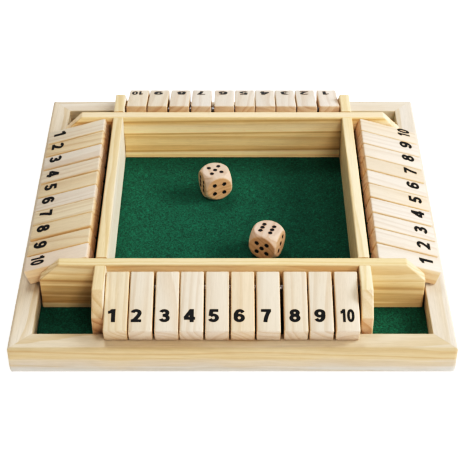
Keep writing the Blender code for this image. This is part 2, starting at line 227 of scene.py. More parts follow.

# Painted light and shade on each piece's faces: the way that a face looks, in the piece's own frame, and its
# further tint.
# The boards' ends also carry their end grain's browner colour.
# Painted shade on the tiles: warmer, darker long sides in the gaps between tiles, and a darker, greyer free
# end.
TILE_PAINTED_SHADE = (
    ((1, 0, 0), (1.00, 0.86, 0.66)),
    ((-1, 0, 0), (1.00, 0.86, 0.66)),
    ((0, -1, 0), (0.78, 0.77, 0.82)),
)
# Darker, warmer inner ends beside the boards: partly their end grain's colour, partly painted shade, deeper
# on the back row.
INNER_END_SHADE = (((0, 1, 0), (0.93, 0.86, 0.82)),)
BACK_INNER_END_SHADE = (((0, 1, 0), (0.80, 0.69, 0.58)),)
BOARD_ENDS = (((1, 0, 0), (0.93, 0.86, 0.84)), ((-1, 0, 0), (0.93, 0.86, 0.84)))
# Painted light and shade on the boards: the right board's top lighter and the other tops darker, the back
# and left boards' inner faces lighter, the front board's outer face darker, and the side boards' front ends
# darker. All ends also carry the end grain's browner colour.
BOARD_GRAIN_AND_PAINTED_LIGHT = {
    "front": BOARD_ENDS + (((0, 0, 1), (0.94, 0.90, 0.78)), ((0, -1, 0), (0.97, 0.92, 0.86))),
    "right": BOARD_ENDS + (((0, 0, 1), (1.06, 1.06, 1.01)), ((-1, 0, 0), (0.80, 0.75, 0.82))),
    "back": BOARD_ENDS + (((0, 0, 1), (0.88, 0.84, 0.79)), ((0, -1, 0), (1.07, 1.06, 1.05))),
    "left": BOARD_ENDS
    + (((0, -1, 0), (1.00, 1.12, 1.42)), ((0, 0, 1), (0.89, 0.86, 0.79)), ((-1, 0, 0), (0.76, 0.67, 0.64))),
}
# Painted light: the rails' tops a little lighter and bluer.
RAIL_TOP_PAINTED_LIGHT = (((0, 0, 1), (1.02, 1.04, 1.09)),)
# Painted light on the dice: sides lighter and warmer than the greyer top, and the sides' flat discs darker
# than their rounded edges.
DIE_SIDE_PAINTED_LIGHT = (1.12, 1.09, 1.12)
DIE_TOP_PAINTED_SHADE = (0.92, 0.93, 1.00)
DIE_DISC = (0.93, 0.84, 0.72)


# Camera, light and floor


def add_camera():
    """The photograph's view: from the front, 0.75 m away, looking down at 39 degrees."""
    data = bpy.data.cameras.new("camera")
    data.sensor_width = 36
    data.lens = 102.39
    camera = bpy.data.objects.new("camera", data)
    camera.location = (0, -0.5875, 0.4728)
    camera.rotation_euler = (math.radians(51.187), 0, 0)
    bpy.context.scene.collection.objects.link(camera)
    bpy.context.scene.camera = camera


def add_area_light(name, azimuth, elevation, power):
    """A soft disc that looks at the game. Its azimuth is counted from +X towards +Y, in degrees."""
    turn, rise = math.radians(azimuth), math.radians(elevation)
    away = Vector((math.cos(turn) * math.cos(rise), math.sin(turn) * math.cos(rise), math.sin(rise)))
    data = bpy.data.lights.new(name, "AREA")
    data.shape = "DISK"
    data.size = LIGHT_SIZE
    data.energy = power
    light = bpy.data.objects.new(name, data)
    light.location = away * LIGHT_DISTANCE
    light.rotation_euler = (-away).to_track_quat("-Z", "Y").to_euler()
    bpy.context.scene.collection.objects.link(light)


def add_lights():
    world = bpy.data.worlds.new("studio")
    world.use_nodes = True
    background = world.node_tree.nodes["Background"]
    background.inputs["Color"].default_value = (1, 1, 1, 1)
    background.inputs["Strength"].default_value = WORLD_STRENGTH
    bpy.context.scene.world = world
    for name, azimuth, elevation, power in LIGHTS:
        add_area_light(name, azimuth, elevation, power)


def set_tone():
    """A photograph's gentle S-curve: deeper shadows and softer highlights than a straight one."""
    view = bpy.context.scene.view_settings
    view.view_transform = "Standard"
    view.use_curve_mapping = True
    points = view.curve_mapping.curves[3].points
    for step in range(1, TONE_STEPS):
        coded = step / TONE_STEPS
        bent = coded - TONE_BEND * math.sin(2 * math.pi * coded) / (2 * math.pi)
        points.new(coded**CODING_POWER, bent**CODING_POWER)
    view.curve_mapping.update()


def add_floor(material):
    shape = bmesh.new()
    bmesh.ops.create_grid(shape, x_segments=8, y_segments=8, size=FLOOR_HALF)
    floor = new_object("floor", mesh_from(shape, "floor"), material)


# Meshes


def mesh_from(shape, name):
    mesh = bpy.data.meshes.new(name)
    bmesh.ops.recalc_face_normals(shape, faces=shape.faces)
    shape.to_mesh(mesh)
    shape.free()
    return mesh


def new_object(name, mesh, material=None):
    made = bpy.data.objects.new(name, mesh)
    if material is not None:
        mesh.materials.clear()
        mesh.materials.append(material)
    bpy.context.scene.collection.objects.link(made)
    return made


def add_piece(name, mesh, material, place, body, node):
    """A piece in its place, which rides on a body, has a slot's finish and stands for a node."""
    piece = new_object(name, mesh, material)
    piece.matrix_world = place
    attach(piece, body)
    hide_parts(node)
    return piece


def smooth(mesh, degrees):
    mesh.shade_smooth()
    mesh.set_sharp_from_angle(angle=math.radians(degrees))


def evaluated_mesh(holder):
    """The object's mesh with its modifiers applied."""
    bpy.context.view_layer.update()
    return bpy.data.meshes.new_from_object(holder.evaluated_get(bpy.context.evaluated_depsgraph_get()))


def with_booleans(mesh, cutters, operation="DIFFERENCE"):
    """The mesh after one exact Boolean for each cutter mesh. The helpers are removed again."""
    target = new_object("boolean_target", mesh)
    helpers = [target]
    for cutter in cutters:
        helper = new_object("boolean_cutter", cutter)
        helpers.append(helper)
        modifier = target.modifiers.new("cut", "BOOLEAN")
        modifier.operation = operation
        modifier.solver = "EXACT"
        modifier.object = helper
    made = evaluated_mesh(target)
    for helper in helpers:
        bpy.data.objects.remove(helper, do_unlink=True)
    return made


def cylinder_mesh(diameter, length, sides=40, chamfer=0.0):
    """A round bar along X, centred on the origin."""
    shape = bmesh.new()
    bmesh.ops.create_cone(
        shape, cap_ends=True, segments=sides, radius1=diameter / 2, radius2=diameter / 2, depth=length
    )
    if chamfer:
        rims = [edge for edge in shape.edges if abs(edge.verts[0].co.z - edge.verts[1].co.z) < SEAT_GAP]
        bmesh.ops.bevel(shape, geom=rims, offset=chamfer, segments=2, profile=0.5, affect="EDGES")
    bmesh.ops.rotate(shape, matrix=Euler((0, QUARTER, 0)).to_matrix(), verts=shape.verts)
    return mesh_from(shape, "round_bar")


def arc_points(x, y, radius, start, end, steps):
    angles = np.radians(np.linspace(start, end, steps + 1))
    return [(x + radius * math.cos(a), y + radius * math.sin(a)) for a in angles]


# Wood: the place of each point in the log, and how much a face shows end grain


def log_matrix(along, pith, lean, travel):
    """From a piece's own frame to its log's, whose Z runs along the piece's named axis, leaning a little.
    The pith's place is given across the piece: (Y, Z) for a piece along X, and (X, Z) for one along Y."""
    across, up = pith
    if along == "X":
        rows = ((lean[0], 1, 0, -across), (lean[1], 0, 1, -up), (1, 0, 0, travel))
    else:
        rows = ((1, lean[0], 0, -across), (0, lean[1], 1, -up), (0, 1, 0, travel))
    return np.array(rows)


def face_tints(places, normals, layers):
    """White, times each layer's tint as far as a face looks the layer's way, whatever its place; the layers
    paint light and shade, and the boards' end grain colour.
    """
    tints = np.ones((len(normals), 3))
    for direction, tint in layers:
        share = np.clip(normals @ np.array(direction, float), 0, 1) ** 2
        tints *= 1 + share[:, None] * (np.array(tint) - 1)
    return tints


def banded_tints(places, normals, layers, bands):
    """The layers' tints (painted light and shade, and end grain's colour), times the bands' tints as far as
    a face looks towards -Y.
    """
    tints = face_tints(places, normals, layers)
    outward = np.clip(-normals[:, 1] * BAND_EDGE_RISE, 0, 1)[:, None] ** 2
    heights = (places[:, 2] + BAND_LEANS[bands] * places[:, 0]) / MILLIMETRE
    slow, fast = (np.sin(places[:, 0] * turns + shift) for turns, shift in zip(WAVE_TURNS, (0, 1)))
    heights += BAND_WAVES[bands] * (slow + 0.7 * fast) / 1.7
    stops = [height for height, _ in BANDS[bands]]
    colours = np.array([TINTS[name] for _, name in BANDS[bands]])
    shades = np.stack([np.interp(heights, stops, colours[:, channel]) for channel in range(3)], axis=1)
    fade = 1 - BAND_FADES[bands] * np.clip(places[:, 0] / BOARD_HALF_LENGTH, 0, 1)[:, None]
    return tints * (1 + outward * fade * (shades - 1))


def die_tints(places, normals):
    """Painted light: lighter, warmer sides than top. On the sides, the flat discs are darker than the
    rounded edges.
    """
    up = np.clip(normals[:, 2], 0, 1)[:, None] ** 2
    tints = up * np.array(DIE_TOP_PAINTED_SHADE) + (1 - up) * np.array(DIE_SIDE_PAINTED_LIGHT)
    flat = (np.abs(places).max(axis=1) > DIE_SIDE / 2 - DIE_EDGE_BLEND / 4)[:, None] * (1 - up)
    return tints * (1 + flat * (np.array(DIE_DISC) - 1))


def read_all(items, field, width=1, kind=np.float32):
    """A field of every item, with one row for each item where it is wider than one number."""
    values = np.empty(len(items) * width, kind)
    items.foreach_get(field, values)
    return values.reshape(-1, width) if width > 1 else values


def store(mesh, name, kind, domain, field, values):
    mesh.attributes.new(name, kind, domain).data.foreach_set(field, values.astype(np.float32).ravel())


def give_grain(mesh, along, log, tinting):
    """Stores the wood's coordinates, its end grain, its rings' spacing in mm and its tint on the mesh; the
    tint carries the stick's tone and painted light and shade.
    The tinting function takes the corners' places and their faces' normals."""
    *log_place, spacing, tint = log
    matrix = log_matrix(along, *log_place)
    places = read_all(mesh.vertices, "co", 3)
    normals = read_all(mesh.polygons, "normal", 3)
    store(mesh, "grain", "FLOAT_VECTOR", "POINT", "vector", places @ matrix[:, :3].T + matrix[:, 3])
    store(mesh, "end_grain", "FLOAT", "FACE", "value", np.abs(normals[:, "XYZ".index(along)]))
    store(mesh, "spacing", "FLOAT", "FACE", "value", np.full(len(normals), spacing))
    corner_places = places[read_all(mesh.loops, "vertex_index", kind=np.int32)]
    corner_normals = np.repeat(normals, read_all(mesh.polygons, "loop_total", kind=np.int32), axis=0)
    tints = np.ones((len(mesh.loops), 4))
    tints[:, :3] = np.array(TINTS[tint]) * tinting(corner_places, corner_normals)
    store(mesh, "tint", "FLOAT_COLOR", "CORNER", "color", tints)


# Materials


def link_in(tree, socket, value):
    if isinstance(value, bpy.types.NodeSocket):
        tree.links.new(value, socket)
    else:
        socket.default_value = value


def add_node(tree, kind, inputs=None, **settings):
    made = tree.nodes.new("ShaderNode" + kind)
    for name, value in settings.items():
        setattr(made, name, value)
    for name, value in (inputs or {}).items():
        link_in(tree, made.inputs[name], value)
    return made


def calculate(tree, operation, first, second=0.0, third=0.0):
    made = add_node(tree, "Math", {0: first, 1: second, 2: third}, operation=operation)
    return made.outputs[0]


def scale_vector(tree, vector, scale):
    made = add_node(tree, "VectorMath", {0: vector, 1: scale}, operation="MULTIPLY")
    return made.outputs[0]


def add_noise(tree, vector, scale, detail=2.0, roughness=0.5):
    inputs = {"Vector": scale_vector(tree, vector, scale), "Scale": 1.0, "Detail": detail}
    return add_node(tree, "TexNoise", {**inputs, "Roughness": roughness})


def noise_value(tree, vector, scale, detail=2.0, roughness=0.5):
    return add_noise(tree, vector, scale, detail, roughness).outputs["Fac"]


def pushed_by_noise(tree, place, base, scale, detail, push):
    """The place, moved by a colour noise that is read at the base, times the push."""
    colour = add_noise(tree, base, scale, detail).outputs["Color"]
    return add_node(tree, "VectorMath", {0: colour, 1: push, 2: place}, operation="MULTIPLY_ADD").outputs[0]


def ramp(tree, value, low, high, to_low=0.0, to_high=1.0):
    made = add_node(
        tree,
        "MapRange",
        {"Value": value, "From Min": low, "From Max": high, "To Min": to_low, "To Max": to_high},
        interpolation_type="SMOOTHSTEP",
    )
    return made.outputs["Result"]


def mix_colours(tree, share, first, second, blend="MIX"):
    made = add_node(tree, "Mix", data_type="RGBA", blend_type=blend)
    link_in(tree, made.inputs[0], share)
    link_in(tree, made.inputs[6], first)
    link_in(tree, made.inputs[7], second)
    return made.outputs[2]


def shaded(tree, colour, shade):
    shades = add_node(tree, "CombineColor", {0: shade, 1: shade, 2: shade}).outputs[0]
    return mix_colours(tree, 1.0, colour, shades, "MULTIPLY")


def add_bump(tree, shader, height, strength, distance):
    bump = add_node(tree, "Bump", {"Strength": strength, "Distance": distance, "Height": height})
    link_in(tree, shader.inputs["Normal"], bump.outputs[0])


def new_material(name, roughness=0.5, metallic=0.0):
    material = bpy.data.materials.new(name)
    material.use_nodes = True
    shader = material.node_tree.nodes["Principled BSDF"]
    shader.inputs["Roughness"].default_value = roughness
    shader.inputs["Metallic"].default_value = metallic
    return material, material.node_tree, shader


def wood_figure():
    """Growth rings, fibres and resin canals, from a place in the log in metres. Lengths inside are in mm."""
    group = bpy.data.node_groups.new("wood_figure", "ShaderNodeTree")
    sockets = group.interface
    sockets.new_socket("Grain", in_out="INPUT", socket_type="NodeSocketVector")
    sockets.new_socket("Spacing", in_out="INPUT", socket_type="NodeSocketFloat")
    for name in ("Ring", "Fibre", "Canal", "Cloud"):
        sockets.new_socket(name, in_out="OUTPUT", socket_type="NodeSocketFloat")
    start = group.nodes.new("NodeGroupInput")
    end = group.nodes.new("NodeGroupOutput")
    place = scale_vector(group, start.outputs["Grain"], (1000, 1000, 1000))

    pushed = pushed_by_noise(group, place, place, (0.030, 0.030, 0.010), 1.0, (7, 7, 0))
    pushed = pushed_by_noise(group, pushed, place, (0.25, 0.25, 0.035), 2.0, (0.9, 0.9, 0))
    flat = scale_vector(group, pushed, (1, 1, 0))
    radius = add_node(group, "VectorMath", {0: flat}, operation="LENGTH").outputs["Value"]
    year = calculate(group, "DIVIDE", radius, start.outputs["Spacing"])
    uneven = add_node(
        group, "TexNoise", {"W": calculate(group, "MULTIPLY", year, 0.45), "Scale": 1.0, "Detail": 1.0},
        noise_dimensions="1D",
    ).outputs["Fac"]
    year = calculate(group, "MULTIPLY_ADD", uneven, 2.2, year)
    phase = calculate(group, "FRACT", year)
    rise = ramp(group, phase, 0.30, 0.90)
    fall = ramp(group, phase, 0.93, 1.0, 1.0, 0.0)
    late = calculate(group, "MULTIPLY", rise, fall)
    strength = add_node(
        group, "TexWhiteNoise", {"W": calculate(group, "FLOOR", year)}, noise_dimensions="1D"
    ).outputs["Value"]
    strength = calculate(group, "MULTIPLY_ADD", strength, 0.65, 0.35)
    ring = calculate(group, "MULTIPLY", late, strength)

    fine = noise_value(group, place, (7.0, 7.0, 0.16), 3.0, 0.6)
    coarse = noise_value(group, place, (1.6, 1.6, 0.035), 2.0, 0.5)
    fibre = calculate(group, "MULTIPLY_ADD", fine, 0.6, calculate(group, "MULTIPLY", coarse, 0.4))
    specks = noise_value(group, place, (3.4, 3.4, 0.22), 0.0)
    canal = ramp(group, specks, 0.72, 0.80)
    cloud = noise_value(group, place, (0.035, 0.035, 0.012), 2.0)
    for name, value in (("Ring", ring), ("Fibre", fibre), ("Canal", canal), ("Cloud", cloud)):
        link_in(group, end.inputs[name], value)
    return group


def wood_material(name, figure, early, late, warm, ring_share, end_rings=0.1, depth=0.08, stored=True):
    """Pale early wood, darker late wood, and a warm tone for clouds and end grain. On end grain the rings'
    share changes by end_rings, and the fibres' streaks are as deep as depth.
    Where no grain is stored on the mesh, the wood is a veneer whose log lies along X, above the sheet."""
    material, tree, shader = new_material(name)
    if stored:
        place = add_node(tree, "Attribute", attribute_name="grain").outputs["Vector"]
        ends = add_node(tree, "Attribute", attribute_name="end_grain").outputs["Fac"]
        tint = add_node(tree, "Attribute", attribute_name="tint").outputs["Color"]
        spacing = add_node(tree, "Attribute", attribute_name="spacing").outputs["Fac"]
    else:
        turn = {"Location": PLY_PITH, "Rotation": (0, QUARTER, 0)}
        turn["Vector"] = add_node(tree, "TexCoord").outputs["Object"]
        place = add_node(tree, "Mapping", turn).outputs[0]
        ends = 0.0
        tint = (1, 1, 1, 1)
        spacing = PLY_SPACING
    wood = tree.nodes.new("ShaderNodeGroup")
    wood.node_tree = figure
    link_in(tree, wood.inputs["Grain"], place)
    link_in(tree, wood.inputs["Spacing"], spacing)
    end_share = ramp(tree, ends, 0.6, 1.0)
    share = calculate(tree, "MULTIPLY_ADD", end_share, end_rings, ring_share)
    ring = calculate(tree, "MULTIPLY", wood.outputs["Ring"], share)
    colour = mix_colours(tree, ring, (*early, 1), (*late, 1))
    warmth = ramp(tree, wood.outputs["Cloud"], 0.35, 0.75, 0.0, 0.35)
    warmth = calculate(tree, "MULTIPLY_ADD", end_share, 0.35, warmth)
    colour = mix_colours(tree, warmth, colour, (*warm, 1), "MULTIPLY")
    # The stored tint: each stick's tone, with painted light and shade on some faces.
    colour = mix_colours(tree, 1.0, colour, tint, "MULTIPLY")
    colour = shaded(tree, colour, ramp(tree, wood.outputs["Fibre"], 0.30, 0.70, 0.98 - depth, 0.98 + depth))
    canals = calculate(tree, "MULTIPLY", wood.outputs["Canal"], 0.30)
    colour = mix_colours(tree, canals, colour, (*late, 1))
    link_in(tree, shader.inputs["Base Color"], colour)
    gloss = ramp(tree, wood.outputs["Fibre"], 0.30, 0.70, 0.62, 0.48)
    link_in(tree, shader.inputs["Roughness"], gloss)
    height = calculate(tree, "MULTIPLY_ADD", wood.outputs["Ring"], 0.5, wood.outputs["Fibre"])
    add_bump(tree, shader, height, 0.22, 0.0001)
    return material


def felt_material():
    """Pressed wool: short fibres lying every way, a little lighter where they catch the light."""
    material, tree, shader = new_material("green_felt_cloth", 0.95)
    place = add_node(tree, "TexCoord").outputs["Object"]
    blotch = noise_value(tree, place, (130, 130, 130), 3.0, 0.6)
    bent = pushed_by_noise(tree, place, place, (420, 420, 420), 2.0, (0.004, 0.004, 0.004))
    across = noise_value(tree, bent, (2000, 520, 1200), 3.0, 0.65)
    down = noise_value(tree, bent, (520, 2000, 1200), 3.0, 0.65)
    fibre = calculate(tree, "MAXIMUM", across, down)
    light = ramp(tree, fibre, 0.42, 0.78)
    colour = mix_colours(tree, light, (0.0058, 0.043, 0.026, 1), (0.012, 0.200, 0.116, 1))
    colour = shaded(tree, colour, ramp(tree, blotch, 0.3, 0.7, 0.94, 1.04))
    link_in(tree, shader.inputs["Base Color"], colour)
    shader.inputs["Specular IOR Level"].default_value = 0.25
    shader.inputs["Sheen Weight"].default_value = 0.10
    shader.inputs["Sheen Roughness"].default_value = 0.55
    shader.inputs["Sheen Tint"].default_value = (0.25, 0.75, 0.50, 1)
    height = calculate(tree, "MULTIPLY_ADD", blotch, 0.6, fibre)
    add_bump(tree, shader, height, 0.55, 0.0004)
    return material


def ink_material(name, colour, roughness):
    """Black print or paint, a little thin where the wood's pores took it in."""
    material, tree, shader = new_material(name, roughness)
    place = add_node(tree, "TexCoord").outputs["Object"]
    pores = noise_value(tree, place, (2200, 700, 2200), 3.0, 0.6)
    worn = ramp(tree, pores, 0.62, 0.78, 0.0, 0.5)
    tint = mix_colours(tree, worn, (*colour, 1), (0.035, 0.030, 0.025, 1))
    link_in(tree, shader.inputs["Base Color"], tint)
    gloss = ramp(tree, pores, 0.3, 0.7, roughness - 0.08, roughness + 0.14)
    link_in(tree, shader.inputs["Roughness"], gloss)
    shader.inputs["Specular IOR Level"].default_value = 0.3
    add_bump(tree, shader, pores, 0.15, 0.00005)
    return material


def steel_material():
    """Drawn wire: fine scratches along its length."""
    material, tree, shader = new_material("drawn_steel", 0.3, 1.0)
    place = add_node(tree, "TexCoord").outputs["Object"]
    lines = noise_value(tree, place, (60, 5000, 5000), 2.0)
    colour = mix_colours(tree, lines, (0.22, 0.22, 0.23, 1), (0.42, 0.42, 0.43, 1))
    link_in(tree, shader.inputs["Base Color"], colour)
    link_in(tree, shader.inputs["Roughness"], ramp(tree, lines, 0.3, 0.7, 0.32, 0.52))
    add_bump(tree, shader, lines, 0.1, 0.00002)
    return material


def plywood_material(figure):
    """Thin plywood, of which only the face veneer shows, from below."""
    colours = (0.64, 0.50, 0.33), (0.48, 0.33, 0.19), (0.90, 0.80, 0.68)
    return wood_material("base_plywood_sheet", figure, *colours, 0.6, stored=False)


# Each wood's early, late and warm colours, its rings' share, that share's change on end grain, its streaks
WOODS = {
    "frame_pine": ((0.70, 0.60, 0.47), (0.55, 0.40, 0.23), (0.97, 0.88, 0.72), 0.70, 0.10, 0.11),
    "board_pine": ((0.83, 0.67, 0.43), (0.56, 0.35, 0.15), (0.97, 0.84, 0.64), 0.55, 0.45, 0.10),
    "tile_pine": ((0.73, 0.63, 0.51), (0.50, 0.34, 0.22), (0.98, 0.84, 0.68), 0.46, 0.10, 0.08),
    "die_beech": ((0.66, 0.51, 0.38), (0.46, 0.29, 0.17), (0.98, 0.80, 0.60), 0.55, 0.10, 0.08),
}


def floor_material():
    material, tree, shader = new_material("pale_floor", 0.7)
    place = add_node(tree, "TexCoord").outputs["Object"]
    cloud = noise_value(tree, place, (3, 3, 3), 1.0)
    colour = mix_colours(tree, cloud, (0.93, 0.93, 0.925, 1), (0.95, 0.95, 0.945, 1))
    link_in(tree, shader.inputs["Base Color"], colour)
    shader.inputs["Specular IOR Level"].default_value = 0.2
    shader.inputs["Emission Color"].default_value = (1, 1, 1, 1)
    shader.inputs["Emission Strength"].default_value = FLOOR_GLOW
    return material


# The frame


def rail_section():
    """The front rail's section as (y, z) points: rounded above and at the foot, with the base's rebate."""
    rebate_side = BASE_LOW.y - SEAT_GAP
    rebate_top = BASE_HIGH.z + SEAT_GAP
    points = arc_points(-FRAME_HALF + RAIL_FOOT_ROUND, RAIL_FOOT_ROUND, RAIL_FOOT_ROUND, 180, 270, 6)
    points += [(rebate_side, 0), (rebate_side, rebate_top), (-WALL_HALF, rebate_top)]
    points += arc_points(
        -WALL_HALF - RAIL_INNER_ROUND, RAIL_TOP - RAIL_INNER_ROUND, RAIL_INNER_ROUND, 0, 90, 4
    )
    points += arc_points(
        -FRAME_HALF + RAIL_OUTER_ROUND, RAIL_TOP - RAIL_OUTER_ROUND, RAIL_OUTER_ROUND, 90, 180, 8
    )
    round_start = RAIL_TOP - RAIL_OUTER_ROUND
    stops = [height * MILLIMETRE for height, _ in reversed(BANDS["rail"])]
    return points + [(-FRAME_HALF, z) for z in stops if RAIL_FOOT_ROUND < z < round_start]


def round_corner(x, y, z):
    """Pulls a point in the frame's corner back to the sanded upright edge, which is rounder at its foot."""
    radius = FRAME_CORNER_ROUND + FRAME_CORNER_FOOT_EASE * max(0.0, 1 - z / (RAIL_TOP / 3)) ** 2
    inner = FRAME_HALF - radius
    dx, dy = abs(x) - inner, abs(y) - inner
    if dx <= 0 or dy <= 0:
        return x, y
    share = min(1.0, radius / math.hypot(dx, dy))
    return math.copysign(inner + dx * share, x), math.copysign(inner + dy * share, y)


def rail_mesh(seed):
    """The front rail, mitred at both ends, with stations close together at the corners."""
    section = rail_section()
    reach = (FRAME_CORNER_ROUND + FRAME_CORNER_FOOT_EASE) * CORNER_REACH_SHARE
    insets = [reach * (step / CORNER_STATIONS) ** 1.5 for step in range(CORNER_STATIONS + 1)]
    gap = MITRE_GAP / math.sqrt(2)
    shape = bmesh.new()
    rings = []
    for end in (-1, 1):
        sides = [[(end * (-y - gap - inset), y, z) for y, z in section] for inset in insets]
        rings.append(sides if end < 0 else sides[::-1])
    left, right = rings[0][-1], rings[1][0]
    between = [
        [tuple(a + (b - a) * step / RAIL_STATIONS for a, b in zip(p, q)) for p, q in zip(left, right)]
        for step in range(1, RAIL_STATIONS)
    ]
    stations = []
    for ring in rings[0] + between + rings[1]:
        row = []
        for x, y, z in ring:
            x, y = round_corner(x, y, z)
            dip = SANDING_DEPTH * (0.5 + 0.5 * noise.noise(Vector((x * 40, y * 90, z * 90 + seed * 7))))
            inward = Vector((0, -FRAME_HALF * 0.95 - y, RAIL_TOP / 2 - z)).normalized()
            row.append(shape.verts.new(Vector((x, y, z)) + inward * dip * (z > BASE_HIGH.z)))
        stations.append(row)
    for first, second in zip(stations, stations[1:]):
        for index in range(len(section)):
            after = (index + 1) % len(section)
            shape.faces.new((first[index], first[after], second[after], second[index]))
    shape.faces.new(stations[0])
    shape.faces.new(stations[-1][::-1])
    mesh = mesh_from(shape, "rail")
    smooth(mesh, 40)
    return mesh


# For each piece, its log: the pith's place, the lean, the place along it, the rings' spacing and the tint
RAIL_LOGS = {
    "front": ((-0.090, -0.034), (0.016, 0.020), 0.10, 4.2, "straw"),
    "right": ((-0.080, -0.030), (0.012, -0.014), 0.52, 3.6, "plain"),
    "back": ((-0.134, -0.036), (-0.014, 0.010), 0.90, 3.8, "plain"),
    "left": ((-0.086, -0.034), (0.020, 0.008), 1.33, 3.4, "warm"),
}


def add_rails(material):
    for row, quarters in ROWS.items():
        mesh = rail_mesh(quarters)
        tinting = partial(face_tints, layers=RAIL_TOP_PAINTED_LIGHT)
        if row == "front":
            tinting = partial(banded_tints, layers=RAIL_TOP_PAINTED_LIGHT, bands="rail")
        give_grain(mesh, "X", RAIL_LOGS[row], tinting)
        turn = Matrix.Rotation(QUARTER * quarters, 4, "Z")
        add_piece(f"frame_{row}_rail", mesh, material, turn, "box", f"{row}_rail")


# The boards


def notch(first, second, edge, depth):
    return [(first, edge), (first, depth), (second, depth), (second, edge)]


def board_outline(notched_above):
    """A board seen from the tray, as (x, z) points: chamfered upper corners and two notches."""
    end = BOARD_HALF_LENGTH
    shoulder = BOARD_TOP - BOARD_END_CHAMFER
    near = BOARD_OFFSET - BOARD_THICKNESS / 2 - LAP_GAP
    far = BOARD_OFFSET + BOARD_THICKNESS / 2 + LAP_GAP
    lap = (BOARD_BOTTOM + BOARD_TOP) / 2
    top = [
        (end, shoulder),
        (end - BOARD_END_CHAMFER, BOARD_TOP),
        (BOARD_END_CHAMFER - end, BOARD_TOP),
        (-end, shoulder),
    ]
    if notched_above:
        floor = lap - LAP_GAP / 2
        notches = notch(far, near, BOARD_TOP, floor) + notch(-near, -far, BOARD_TOP, floor)
        return [(-end, BOARD_BOTTOM), (end, BOARD_BOTTOM)] + top[:2] + notches + top[2:]
    roof = lap + LAP_GAP / 2
    notches = notch(-far, -near, BOARD_BOTTOM, roof) + notch(near, far, BOARD_BOTTOM, roof)
    return [(-end, BOARD_BOTTOM)] + notches + [(end, BOARD_BOTTOM)] + top


def board_mesh(notched_above):
    """A board along X, its long edges rounded above and its chamfers' corners eased."""
    shape = bmesh.new()
    outline = board_outline(notched_above)
    face = shape.faces.new([shape.verts.new((x, -BOARD_THICKNESS / 2, z)) for x, z in outline])
    grown = bmesh.ops.extrude_face_region(shape, geom=[face])
    moved = [item for item in grown["geom"] if isinstance(item, bmesh.types.BMVert)]
    bmesh.ops.translate(shape, vec=(0, BOARD_THICKNESS, 0), verts=moved)
    bmesh.ops.recalc_face_normals(shape, faces=shape.faces)
    weight = shape.edges.layers.float.new("bevel_weight_edge")
    for edge in shape.edges:
        walls = [face for face in edge.link_faces if abs(face.normal.y) < 0.5]
        high = [
            wall
            for wall in walls
            if (wall.normal.z > 0.1 and wall.calc_center_median().z > BOARD_TOP - BOARD_END_CHAMFER)
            or abs(wall.calc_center_median().x) > BOARD_HALF_LENGTH - SEAT_GAP
        ]
        if len(walls) == 1 and high:
            edge[weight] = 1
        elif len(high) == 2 and min(abs(wall.normal.z) for wall in high) < 0.9:
            edge[weight] = 0.6
    mesh = bpy.data.meshes.new("board")
    shape.to_mesh(mesh)
    shape.free()
    holder = new_object("board_holder", mesh)
    rounding = holder.modifiers.new("rounding", "BEVEL")
    rounding.offset_type = "ABSOLUTE"
    rounding.width = BOARD_EDGE_ROUND
    rounding.segments = 5
    rounding.limit_method = "WEIGHT"
    made = evaluated_mesh(holder)
    bpy.data.objects.remove(holder, do_unlink=True)
    return made


BOARD_LOGS = {
    "front": ((0.030, 0.046), (0.006, 0.010), 0.20, 3.4, "plain"),
    "right": ((0.034, -0.010), (0.010, 0.008), 0.61, 4.4, "plain"),
    # The back board's "bright" tint is partly a paler stick and partly painted light, lifting its inner
    # face.
    "back": ((0.010, -0.060), (0.004, -0.006), 1.05, 9.0, "bright"),
    "left": ((-0.015, 0.064), (-0.008, 0.010), 1.48, 4.6, "plain"),
}


def cut_bands(mesh, bands):
    """Cuts the face towards -Y along its bands, so that each corner there lies in one."""
    shape = bmesh.new()
    shape.from_mesh(mesh)
    for height, _ in BANDS[bands]:
        faces = [face for face in shape.faces if face.normal.y < -0.5]
        edges = {edge for face in faces for edge in face.edges}
        points = {point for face in faces for point in face.verts}
        normal = Vector((BAND_LEANS[bands], 0, 1)).normalized()
        bmesh.ops.bisect_plane(
            shape, geom=[*points, *edges, *faces], plane_co=(0, 0, height * MILLIMETRE), plane_no=normal
        )
    shape.to_mesh(mesh)
    shape.free()


def row_place(row):
    """The matrix of a row's rod: the row's quarter turn, then out to the hinge."""
    turn = Matrix.Rotation(QUARTER * ROWS[row], 4, "Z")
    hinge = turn.inverted() @ Vector(JOINTS[f"{row}_tile_01"]["pos_m"])
    return turn @ Matrix.Translation((0, hinge.y, hinge.z))


def rod_bore(row):
    """The bore for a row's rod, where it lies."""
    reach = 2 * (BOARD_OFFSET - BOARD_THICKNESS / 2 + ROD_HOLE_DEPTH)
    mesh = cylinder_mesh(BORE_DIAMETER, reach)
    mesh.transform(row_place(row))
    return mesh


